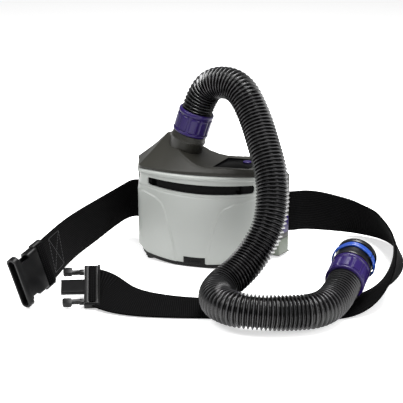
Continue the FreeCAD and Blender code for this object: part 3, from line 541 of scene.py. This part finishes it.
# ------------------------------------------------------------------ case outline, as in the solids
FRONT_Y, FRONT_R, FRONT_HALF = -44.0, 200.0, 73.0
REAR_HALF, REAR_Y, BACK_Y = 98.6, 47.5, 24.0
BACK_R = (REAR_HALF ** 2 + (REAR_Y - BACK_Y) ** 2) / (2 * (REAR_Y - BACK_Y))
CORNER_FRONT_R, CORNER_REAR_R = 14.0, 5.0
TURN_FRONT, TURN_REAR = 0.9, 1.55
SEAM_Z, GAP = 113.0, 0.3
COVER_REAR_Y = 18.0
FINE_STEP = 0.4


def case_outline(step):
    """Closed plan outline and outward normals, from the left rear corner round the front."""
    xs = np.linspace(-FRONT_HALF, FRONT_HALF, 121)
    front = np.stack([xs, FRONT_Y + FRONT_R - np.sqrt(FRONT_R ** 2 - xs ** 2)], axis=1)
    xs = np.linspace(REAR_HALF, -REAR_HALF, 121)
    back = np.stack([xs, BACK_Y + BACK_R - np.sqrt(BACK_R ** 2 - xs ** 2)], axis=1)
    line, spots = resampled(np.vstack([back[-1:], front, back]), FINE_STEP)
    line, spots = line[:-1], spots[:-1]
    total = spots[-1] + FINE_STEP
    corners = [(front[0], CORNER_FRONT_R, TURN_FRONT), (front[-1], CORNER_FRONT_R, TURN_FRONT),
               (back[0], CORNER_REAR_R, TURN_REAR), (back[-1], CORNER_REAR_R, TURN_REAR)]
    for corner, radius, turn in corners:
        k = int(np.argmin(np.linalg.norm(line - corner, axis=1)))
        reach = radius * math.tan(turn / 2)
        away = (spots - spots[k] + total / 2) % total - total / 2
        start = line[np.argmin(np.abs(away + reach))]
        end = line[np.argmin(np.abs(away - reach))]
        near = np.abs(away) < reach
        f = ((away[near] + reach) / (2 * reach))[:, None]
        line[near] = start * (1 - f) ** 2 + corner * 2 * f * (1 - f) + end * f ** 2
    closed, _ = resampled(np.vstack([line, line[:1]]), step)
    closed = closed[:-1]
    tangents = unit_rows(np.roll(closed, -1, axis=0) - np.roll(closed, 1, axis=0))
    return closed, np.stack([tangents[:, 1], -tangents[:, 0]], axis=1)


def smooth_step(value, low, high):
    t = np.clip((value - low) / (high - low), 0, 1)
    return t * t * (3 - 2 * t)


def two_skins(outer, inner, present):
    """A closed solid from matching outer and inner grids, with the cells that aren't present left open."""
    rows, cols = outer.shape[:2]
    verts = np.vstack([outer.reshape(-1, 3), inner.reshape(-1, 3)])
    half = rows * cols
    faces = []

    def wall(a, b):
        faces.append((a, b, b + half, a + half))

    def missing(i, j):
        return not (0 <= i < rows - 1 and 0 <= j < cols - 1 and present[i, j])

    for i in range(rows - 1):
        for j in range(cols - 1):
            if not present[i, j]:
                continue
            a, b, c, d = i * cols + j, i * cols + j + 1, (i + 1) * cols + j + 1, (i + 1) * cols + j
            faces.append((a, b, c, d))
            faces.append((a + half, d + half, c + half, b + half))
            for gone, p, q in ((missing(i - 1, j), b, a), (missing(i + 1, j), d, c),
                               (missing(i, j - 1), a, d), (missing(i, j + 1), c, b)):
                if gone:
                    wall(p, q)
    return verts, faces


def set_in(path, out, depth, z):
    """Grid of points, one row for each height, set in from a plan path along its normals."""
    plan = path[None, :, :] - out[None, :, :] * depth[:, :, None]
    return np.concatenate([plan, z[:, :, None]], axis=2)


# ------------------------------------------------------------------ filter cover and base
# The cover's rows of points are close over the notch and even up to LEVEL_Z. Above it there is one for each
# of LEVELS, bent to follow the crease and the inlet slot, and then the lip's rows of (height, inset).
SLOT_X = (-60.5, 71.0)
SLOT_R = 3.2
NOTCH_X = (-13.0, 14.0)
NOTCH_H = 7.8
NOTCH_ROWS = (0, 0.08, 0.2, 0.5, 1.0)
LEVEL_Z = 40.0
LOWER_ROWS = 21
LIP_Z = 107.0
LEVELS = np.arange(LEVEL_Z + 0.75, LIP_Z + 0.2, 0.75)
CREASE_LEVEL, SLOT_LEVELS = 86, (91, 101.5)
WING_TOP = 88.3
FACE_INSET, CREASE_STEP, COVER_SKIN = 1.8, 1.1, 2.3
BEAD, LEDGE, RELIEF_W = 0.5, 1.3, 0.9
EDGE_INSET, EDGE_H = 0.7, 1.4
LIP = np.array([(107.4, 1.9), (107.9, 0.8), (108.6, 0.2), (109.4, 0.0), (110.3, 0.15), (111.2, 0.6),
                (112.0, 1.3), (112.6, 2.2), (112.9, 3.2), (113.0, 4.2), (113.0, 5.2)])
# (height, x) points of the side wings' inner edges.
LEFT_LINE = [(5, -21.5), (23, -25), (65, -36), (75, -40.5), (81, -49), (87, -68), (88.5, -95)]
RIGHT_LINE = [(3, 15.5), (15, 18), (50, 24.5), (69, 31.5), (74, 36.5), (79.5, 47.5), (86, 73), (88, 95)]


def cover_bottom(x):
    """Height of the cover's lower edge: a shallow smile with cut corners."""
    return 5.2 + 6.0 * (np.clip(np.abs(x), 0, 62) / 62) ** 2 + 6.5 * smooth_step(np.abs(x), 60, 73)


def crease_height(x):
    return 85.6 + 8.0 * ((np.clip(x, -76, 76) - 8) / 80) ** 2


def side_of_line(x, z, line):
    """Distance from a line given as (z, x) points, and the line's x at each height."""
    knots = np.array(line, float)
    at = np.interp(z, knots[:, 0], knots[:, 1])
    best = np.full(x.shape, 1e9)
    for (z0, x0), (z1, x1) in zip(line[:-1], line[1:]):
        dx, dz = x1 - x0, z1 - z0
        t = np.clip(((x - x0) * dx + (z - z0) * dz) / (dx * dx + dz * dz), 0, 1)
        best = np.minimum(best, np.hypot(x - x0 - t * dx, z - z0 - t * dz))
    return best, at


def cover_rows(x):
    """Heights of the cover's rows of points: they follow its lower edge, then the crease and the slot."""
    low, crease = cover_bottom(x), crease_height(x)
    bend = ((np.clip(x, -76, 76) - 11) / 64) ** 2
    from_end = np.minimum(x - SLOT_X[0], SLOT_X[1] - x)
    corner = SLOT_R - np.sqrt(SLOT_R ** 2 - (SLOT_R - np.clip(from_end, 0, SLOT_R)) ** 2)
    corner = np.where(from_end < 0, np.clip(SLOT_R + from_end, 0, None), corner)
    slot_low, slot_top = 89.8 + 4.0 * bend + corner, 101.2 + 2.0 * bend - corner
    rows = [low + NOTCH_H * f for f in NOTCH_ROWS]
    rows += [low + NOTCH_H + (LEVEL_Z - low - NOTCH_H) * t for t in np.linspace(0, 1, LOWER_ROWS + 1)[1:]]
    bottom, top = np.full_like(x, LEVEL_Z), np.full_like(x, LIP_Z)
    knots = np.stack([bottom, crease - 6, crease, slot_low, slot_top, top], axis=1)
    levels = (LEVEL_Z, CREASE_LEVEL - 6, CREASE_LEVEL, *SLOT_LEVELS, LIP_Z)
    rows += [np.array([np.interp(level, levels, heights) for heights in knots]) for level in LEVELS]
    return np.array(rows)


def cover_inset(x, z):
    """How far the cover lies inside the case outline: crease, side wings with a bead, thinned lower edge."""
    inset = FACE_INSET + CREASE_STEP * smooth_step(z - crease_height(x), -0.7, 0.7)
    left_gap, left_x = side_of_line(x, z, LEFT_LINE)
    right_gap, right_x = side_of_line(x, z, RIGHT_LINE)
    outside = (z < WING_TOP) & ((x < left_x) | (x > right_x))
    gap = np.minimum(left_gap, right_gap) * np.where(outside, 1, -1)
    inset = inset - BEAD * np.exp(-(gap / RELIEF_W) ** 2) * smooth_step(WING_TOP - z, 0, 3)
    inset = inset - LEDGE * smooth_step(gap, -RELIEF_W, RELIEF_W)
    return inset + EDGE_INSET * (1 - smooth_step(z - cover_bottom(x), 0, EDGE_H))


def make_cover():
    """Filter cover with its inlet slot, the notch for the catch and the turned lip."""
    outline, normals = case_outline(0.8)
    keep = outline[:, 1] <= COVER_REAR_Y
    path, out = outline[keep], normals[keep]
    x = path[:, 0]
    z = cover_rows(x)
    inset = cover_inset(np.broadcast_to(x, z.shape), z)
    lip_z, lip_inset = np.repeat(LIP.T[:, :, None], len(x), axis=2)
    z, inset = np.vstack([z, lip_z]), np.vstack([inset, lip_inset])
    deep = np.maximum(inset + COVER_SKIN, 4.0)
    deep[-3:] = [[5.3], [5.5], [5.6]]
    present = np.ones((len(z) - 1, len(x) - 1), bool)
    slot_rows = np.flatnonzero((LEVELS >= SLOT_LEVELS[0]) & (LEVELS < SLOT_LEVELS[1] - 0.2))
    in_slot = (x[:-1] > SLOT_X[0]) & (x[:-1] < SLOT_X[1])
    present[np.ix_(len(NOTCH_ROWS) + LOWER_ROWS + slot_rows, in_slot)] = False
    present[:len(NOTCH_ROWS) - 1, (x[:-1] > NOTCH_X[0]) & (x[:-1] < NOTCH_X[1])] = False
    inner = set_in(path, out, deep, np.minimum(z, SEAM_Z - 2.2))
    verts, faces = two_skins(set_in(path, out, inset, z), inner, present)
    place(mesh_object("cover_shell", verts, faces, "cover_grey", 50), "cover", "cover_grey", "filter_cover")
    behind = (x > SLOT_X[0] - 6) & (x < SLOT_X[1] + 6)
    # Near-black sheet behind the slot: painted shade.
    make_slot_shade_sheet(path[behind], out[behind])


def make_slot_shade_sheet(path, out):
    """Near-black sheet of painted shade that closes the view through the inlet slot, from its section's
    (height, inset) corners.
    """
    corners = np.array([(84.0, 5.4), (108.0, 5.4), (108.0, 5.8), (84.0, 5.8)])
    z, depth = np.repeat(corners.T[:, :, None], len(path), axis=2)
    rings = set_in(path, out, depth, z).transpose(1, 0, 2)
    faces = grid_faces(len(rings), len(corners), close_cols=True)
    screen = mesh_object("slot_shade_sheet", rings.reshape(-1, 3), faces, "foam_grey")
    place(screen, "cover", "foam_grey")


def make_base():
    """Skirt that shows under the cover, curving in to a flat floor, and the floor under the battery."""
    outline, normals = case_outline(2.0)
    keep = outline[:, 1] <= COVER_REAR_Y
    path, out = outline[keep], normals[keep]
    low = cover_bottom(path[:, 0])
    edge = np.maximum(low - 5.4, 0.6)
    # Height, inset from the outline, and how much higher the inner skin is.
    levels = [(np.full_like(low, 2.6), 10.0, 1.1), (edge * 0.6 + 1.0, 5.5, 1.1), (edge, 3.4, 0.8),
              (edge + 0.8, 2.7, 0.5), (low + 1.2, 2.6, 0.0), (low + 5.0, 2.9, 0.0)]
    z = np.array([height for height, _, _ in levels])
    depth = np.array([[inset] for _, inset, _ in levels]) + 4.5 * smooth_step(np.abs(path[:, 0]), 66, 76)
    inner_z = z + np.array([[rise] for _, _, rise in levels])
    present = np.ones((len(z) - 1, len(low) - 1), bool)
    verts, faces = two_skins(set_in(path, out, depth, z), set_in(path, out, depth + 1.2, inner_z), present)
    place(mesh_object("base_skirt", verts, faces, "base_dark", 50), "unit", "base_dark", "base_pan")
    ring = outline - normals * np.where(keep, 9.0, 1.5)[:, None]
    place(prism("base_floor", ring, 2.5, 3.7, "base_dark", 50), "unit", "base_dark")


# ------------------------------------------------------------------ upper housing
WINDOW = [(20, -31), (26, 14), (74, 14), (62, -28)]
# How far along the scoop's direction, and its height there.
SCOOP_ALONG = (-60, -42, -30, -17, -6, 3.5, 12, 19, 27)
SCOOP_Z = (156, 147.3, 141.2, 134.4, 129.6, 125.7, 123.1, 122.2, 122)
SCOOP_X, SCOOP_Y = 0.974, -0.225
NECK_TOP = 149.5
HOUSING_FOOT = SEAM_Z + GAP
HOUSING_GRID = 1.4
BLOCK_FOOT, CUT_FOOT, CUT_TOP = 60.0, 100, 200
# Rise of each flank for each millimetre in from the outline. On the left and the front it varies with x.
LEFT_SLOPE = ((-70, -42), (0.84, 1.0))
FRONT_SLOPE = ((-66, -38, 20), (0.66, 0.86, 1.3))
RIGHT_SLOPE, BACK_SLOPE = 1.25, 3.2
BORE_R = 20.2


def soft_min(a, b, width):
    h = np.clip(0.5 + 0.5 * (b - a) / width, 0, 1)
    return b * (1 - h) + a * h - width * h * (1 - h)


def upper_height(x, y):
    """Top of the upper housing: flanks from the outline, a scoop from neck to deck, low shoulders."""
    front = FRONT_R - np.hypot(x, y - FRONT_Y - FRONT_R)
    back = np.hypot(x, y - BACK_Y - BACK_R) - BACK_R
    side_y = FRONT_Y + FRONT_R - math.sqrt(FRONT_R ** 2 - FRONT_HALF ** 2)
    run, rise = REAR_HALF - FRONT_HALF, REAR_Y - side_y
    sides = (FRONT_HALF * rise + (y - side_y) * run - np.abs(x) * rise) / math.hypot(run, rise)
    start = HOUSING_FOOT + 1.2
    left = start + sides * np.interp(x, *LEFT_SLOPE)
    right = start + sides * RIGHT_SLOPE
    face = start + front * np.interp(x, *FRONT_SLOPE)
    flank = soft_min(soft_min(np.where(x < 0, left, right), face, 1.2), start + 1.5 + back * BACK_SLOPE, 2.5)
    along = SCOOP_X * x + SCOOP_Y * y
    scoop = sum(np.interp(along + k, SCOOP_ALONG, SCOOP_Z) for k in range(-4, 5)) / 9
    scoop = scoop + 0.07 * np.clip(y + 16, 0, None) * smooth_step(-along, 0, 16)
    level = soft_min(soft_min(flank, scoop, 1.0), NECK_TOP, 1.0)
    shoulder = 97.8 + 0.53 * (43.0 - y) + 0.7 * (95.0 - np.abs(x))
    return soft_min(level, shoulder, 0.8)


def bore_cutter():
    """Cylinder along the outlet, as wide as the hole for the spigot."""
    side = np.array([0.0, 1.0, 0.0])
    angles = full_turn(72)[:, None]
    radial = side * np.cos(angles) + np.cross(OUTLET_AXIS, side) * np.sin(angles)
    verts = np.vstack([OUTLET + OUTLET_AXIS * h + BORE_R * radial for h in (-45.0, 20.0)])
    return mesh_object("cut_bore", verts, tube_faces(2, len(angles)), "housing_dark")


def make_upper_housing():
    """Block under the height field, cut to the outline, with the window's recess and the spigot's hole."""
    outline, normals = case_outline(1.5)
    across, along = np.arange(-101.0, 101.1, HOUSING_GRID), np.arange(-48.0, 50.1, HOUSING_GRID)
    x, y = np.meshgrid(across, along, indexing="ij")
    top, bottom = (np.stack([x, y, z], axis=2) for z in (upper_height(x, y), np.full_like(x, BLOCK_FOOT)))
    verts, faces = two_skins(top, bottom, np.ones((len(across) - 1, len(along) - 1), bool))
    housing = mesh_object("upper_shell", verts, faces, "housing_dark")
    inset = np.where(outline[:, 1:] < COVER_REAR_Y, 1.7, 0.02)
    carve(housing, prism("cut_outline", outline - normals * inset, HOUSING_FOOT, CUT_TOP), "INTERSECT")
    carve(housing, prism("cut_window", WINDOW, CUT_FOOT, CUT_TOP))
    carve(housing, bore_cutter())
    finish_mesh(housing.data, "housing_dark", 48)
    place(housing, "unit", "housing_dark", "upper_housing")


def make_recess_shade_wall():
    """Near-black wall round the recess of the display window: painted shade on the recess walls."""
    edge = resampled(np.array(WINDOW + WINDOW[:1], float), 1.5)[0][:-1]
    inward = unit_rows(edge.mean(axis=0) - edge)
    top = upper_height(edge[:, 0], edge[:, 1]) - 0.5
    low = np.full(len(edge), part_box("display_window")[1][2] / MM - 0.3)
    corners = ((0.1, low), (0.1, top), (0.9, top), (0.9, low))
    rings = np.stack([np.column_stack([edge + inward * depth, z]) for depth, z in corners], axis=1)
    faces = grid_faces(len(rings), len(corners), close_cols=True, close_rows=True)
    shade_wall = mesh_object("recess_shade_wall", rings.reshape(-1, 3), faces, "window_black")
    place(shade_wall, "unit", "window_black")


# ------------------------------------------------------------------ collars and squeeze ring
GRIPS = 10
COLLAR_BORE = 18.52
RING_R, RING_AT = 20.75, 39.5
RING_STAND, RING_DIP = 1.55, 2.6
RING_ARC, TAB_ARC = 116.5, 56
RING_STATIONS = 40
RING_SECTION = ((0.0, -3.0), (1.0, -3.3), (1.75, -2.8), (1.9, -1.5), (1.55, 0.0), (1.9, 1.5), (1.75, 2.8),
                (1.0, 3.3), (0.0, 3.0), (0.0, 0.0))


def across_axis(axis):
    """Two directions at right angles to an axis and to each other, the first of them level."""
    side = unit_rows(np.cross(axis, (0.0, 0.0, 1.0))[None, :])[0]
    return side, np.cross(side, axis)


def turned(name, base, axis, profile, around, shape, surface):
    """A closed turned ring from (radius, height, how much of the pattern) points."""
    side, up = across_axis(axis)
    angles = full_turn(around)
    radial = np.cos(angles)[:, None] * side + np.sin(angles)[:, None] * up
    rings = [base + axis * h + radial * (r + amount * shape(angles))[:, None] for r, h, amount in profile]
    verts = np.array(rings).reshape(-1, 3)
    return mesh_object(name, verts, grid_faces(len(profile), around, True, True), surface, 55)


def grip_pattern(angles):
    """One raised pad per grip, with steep rounded sides."""
    phase = np.abs((angles * GRIPS / (2 * math.pi)) % 1 - 0.5) * 2
    return 1 - smooth_step(phase, 0.62, 0.86)


def make_collar(name, base, axis, h0, h1, radius, body, node):
    """Bayonet collar from h0 to h1 along an axis, with grip pads between two plain rims."""
    profile = [(COLLAR_BORE, h0, 0), (radius - 0.7, h0, 0), (radius - 0.2, h0 + 0.4, 0),
               (radius, h0 + 1.2, 0), (radius, h0 + 2.6, 0), (radius - 0.7, h0 + 3.3, 0),
               (radius - 1.3, h0 + 3.9, 0)]
    profile += [(radius - 1.35, h, 1.15) for h in np.linspace(h0 + 4.6, h1 - 6.6, 9)]
    profile += [(radius - 1.3, h1 - 5.8, 0), (radius - 0.9, h1 - 5.0, 0), (radius - 0.1, h1 - 4.4, 0),
                (radius, h1 - 3.0, 0), (radius - 0.1, h1 - 1.4, 0), (radius - 0.6, h1 - 0.4, 0),
                (radius - 1.2, h1, 0), (COLLAR_BORE, h1, 0)]
    collar = turned(name, base, axis, profile, 240, grip_pattern, "purple_plastic")
    return place(collar, body, "purple_plastic", node)


def ring_sector(name, mid_deg, width_deg, body, *replaced):
    """Piece of the wavy squeeze ring: it stands off the connector and dips at its two sides."""
    side, up = across_axis(HEAD_AXIS)
    rings = []
    for angle in np.radians(np.linspace(mid_deg - width_deg / 2, mid_deg + width_deg / 2, RING_STATIONS)):
        radial = side * math.cos(angle) + up * math.sin(angle)
        stand = RING_R + RING_STAND * smooth_step(abs(math.cos(angle)), 0.45, 0.95)
        at = RING_AT - RING_DIP * math.cos(2 * angle)
        rings += [HEAD + HEAD_AXIS * (at + h) + radial * (stand + r) for r, h in RING_SECTION]
    ring = mesh_object(name, rings, tube_faces(RING_STATIONS, len(RING_SECTION)), "ring_blue", 60)
    return place(ring, body, "ring_blue", *replaced)


# ------------------------------------------------------------------ webbing at the buckle halves
MALE_BAR = np.array([-69.0, -173.6, 17.6])
MALE_OUT = np.array([-0.93, -0.36, 0.0])
MALE_ACROSS = np.array([0.30, -0.80, -0.47])
FEMALE_MOUTH = np.array([-137.0, -223.0, 31.0])
FEMALE_OUT = np.array([-0.27, -0.93, -0.25])
FEMALE_ACROSS = np.array([-0.2, -0.2, 0.96])
FOLD_AROUND = 28
FOLD_ROUNDS = ((-24.8, 1.6), (-24.4, 0.4), (-23.6, 0), (23.6, 0), (24.4, 0.4), (24.8, 1.6))
RIM_HALF, RIM_STATIONS = 28.4, 25


def local_frame(origin, out, across):
    """A function from a buckle half's own (out, across, normal) millimetres to the part's."""
    x = out / np.linalg.norm(out)
    y = across - x * across.dot(x)
    y = y / np.linalg.norm(y)
    z = np.cross(x, y)
    return lambda a, b, c: origin + x * a + y * b + z * c


def make_fold(name, at, centre, reach, depth):
    """Webbing turned back over the bar of a buckle half, as one rounded fold."""
    angles = full_turn(FOLD_AROUND)
    verts = [at(centre + (reach - cut) * math.cos(a), y, (depth - cut) * math.sin(a))
             for y, cut in FOLD_ROUNDS for a in angles]
    uvs = [(a * (reach + depth) / 2 / WEAVE_UNIT, y / WEAVE_UNIT) for y, _ in FOLD_ROUNDS for a in angles]
    fold = mesh_object(name, verts, tube_faces(len(FOLD_ROUNDS), FOLD_AROUND), "webbing_black", 60, uvs)
    return place(fold, "unit", "webbing_black")


def make_male_rim(at):
    """Raised rim of the male half beside the fold."""
    verts = []
    for y in np.linspace(-RIM_HALF, RIM_HALF, RIM_STATIONS):
        crown = 8.2 - 4.2 * (y / RIM_HALF) ** 2
        section = ((-4.2, -4.2), (-2.0, -4.6), (-1.4, 0.0), (-2.0, crown - 0.6), (-3.0, crown),
                   (-4.0, crown - 0.6), (-4.6, 0.0))
        verts += [at(x, y, z) for x, z in section]
    rim = mesh_object("male_rim", verts, tube_faces(RIM_STATIONS, len(section)), "buckle_black", 50)
    return place(rim, "unit", "buckle_black")


# ------------------------------------------------------------------ CAD parts kept, with rounded edges
EDGE_ROUNDING = {
    "rear_housing": 0.7, "battery_pack": 1.2, "rear_foot_trim": 1.0, "battery_latch": 0.6,
    "belt_guide_right": 0.8, "belt_guide_left": 0.8, "buckle_female": 0.7, "buckle_male": 0.6,
    "prong_upper": 0.5, "prong_lower": 0.5, "cover_latch": 0.4, "webbing_bar": 0.4, "cuff_head": 0.5,
    "outlet_spigot": 0.4, "cuff_unit": 0.4, "power_button": 0.3, "flow_button": 0.3, "display_window": 0.25,
}
OTHER_SURFACE = {"outlet_spigot": "housing_dark"}


def make_floor():
    """White paper floor that also glows a little."""
    bpy.ops.mesh.primitive_plane_add(size=40)
    floor = bpy.context.object
    floor.name = "floor"
    paper, _, shader = new_material("floor_look")
    shader.inputs["Base Color"].default_value = (0.85, 0.85, 0.85, 1)
    shader.inputs["Roughness"].default_value = 0.8
    shader.inputs["Emission Color"].default_value = (1, 1, 1, 1)
    shader.inputs["Emission Strength"].default_value = 0.55
    floor.data.materials.append(paper)


make_camera()
make_studio()
hose, hose_path, hose_length = make_hose()
belt_right, right_path, right_length, _ = make_belt("belt_right_skin", BELT_RIGHT, MALE_ACROSS, "belt_right")
belt_left, left_path, left_length, left_frames = make_belt("belt_left_skin", BELT_LEFT, FEMALE_ACROSS,
                                                           "belt_left")
left_end = left_frames[-1][-1]
left_stitches = make_stitches("belt_left_stitching", left_frames, left_end - STITCH_FROM,
                              left_end - STITCH_TO, STITCH_HALF, -1)

make_cover()
make_base()
make_upper_housing()
# Painted shade in the window recess.
make_recess_shade_wall()
make_collar("collar_unit_skin", OUTLET, OUTLET_AXIS, -0.4, 27.3, 21.0, "unit_collar", "collar_unit")
collar_head = make_collar("collar_head_skin", HEAD, HEAD_AXIS, 0.3, 26.6, 21.6, "head_collar", "collar_head")
ring_top = ring_sector("ring_top", 90, RING_ARC, "unit", "lock_ring")
ring_bottom = ring_sector("ring_bottom", 270, RING_ARC, "unit")
tab_left = ring_sector("tab_left_pad", 180, TAB_ARC, "tab_left", "squeeze_tab_left")
tab_right = ring_sector("tab_right_pad", 0, TAB_ARC, "tab_right", "squeeze_tab_right")
looks = {node: softened(node, width, OTHER_SURFACE.get(node, NODE_SLOT[node]))
         for node, width in EDGE_ROUNDING.items()}
male_at = local_frame(MALE_BAR, MALE_OUT, MALE_ACROSS)
female_at = local_frame(FEMALE_MOUTH, FEMALE_OUT, FEMALE_ACROSS)
male_fold = make_fold("webbing_roll", male_at, centre=4.4, reach=6.4, depth=5.9)
male_rim = make_male_rim(male_at)
female_fold = make_fold("webbing_fold", female_at, centre=-43.4, reach=7.0, depth=5.1)

for node, obj in nodes.items():
    for material_slot in obj.material_slots:
        material_slot.material = SURFACES[NODE_SLOT[node]]

make_floor()
bpy.context.view_layer.update()
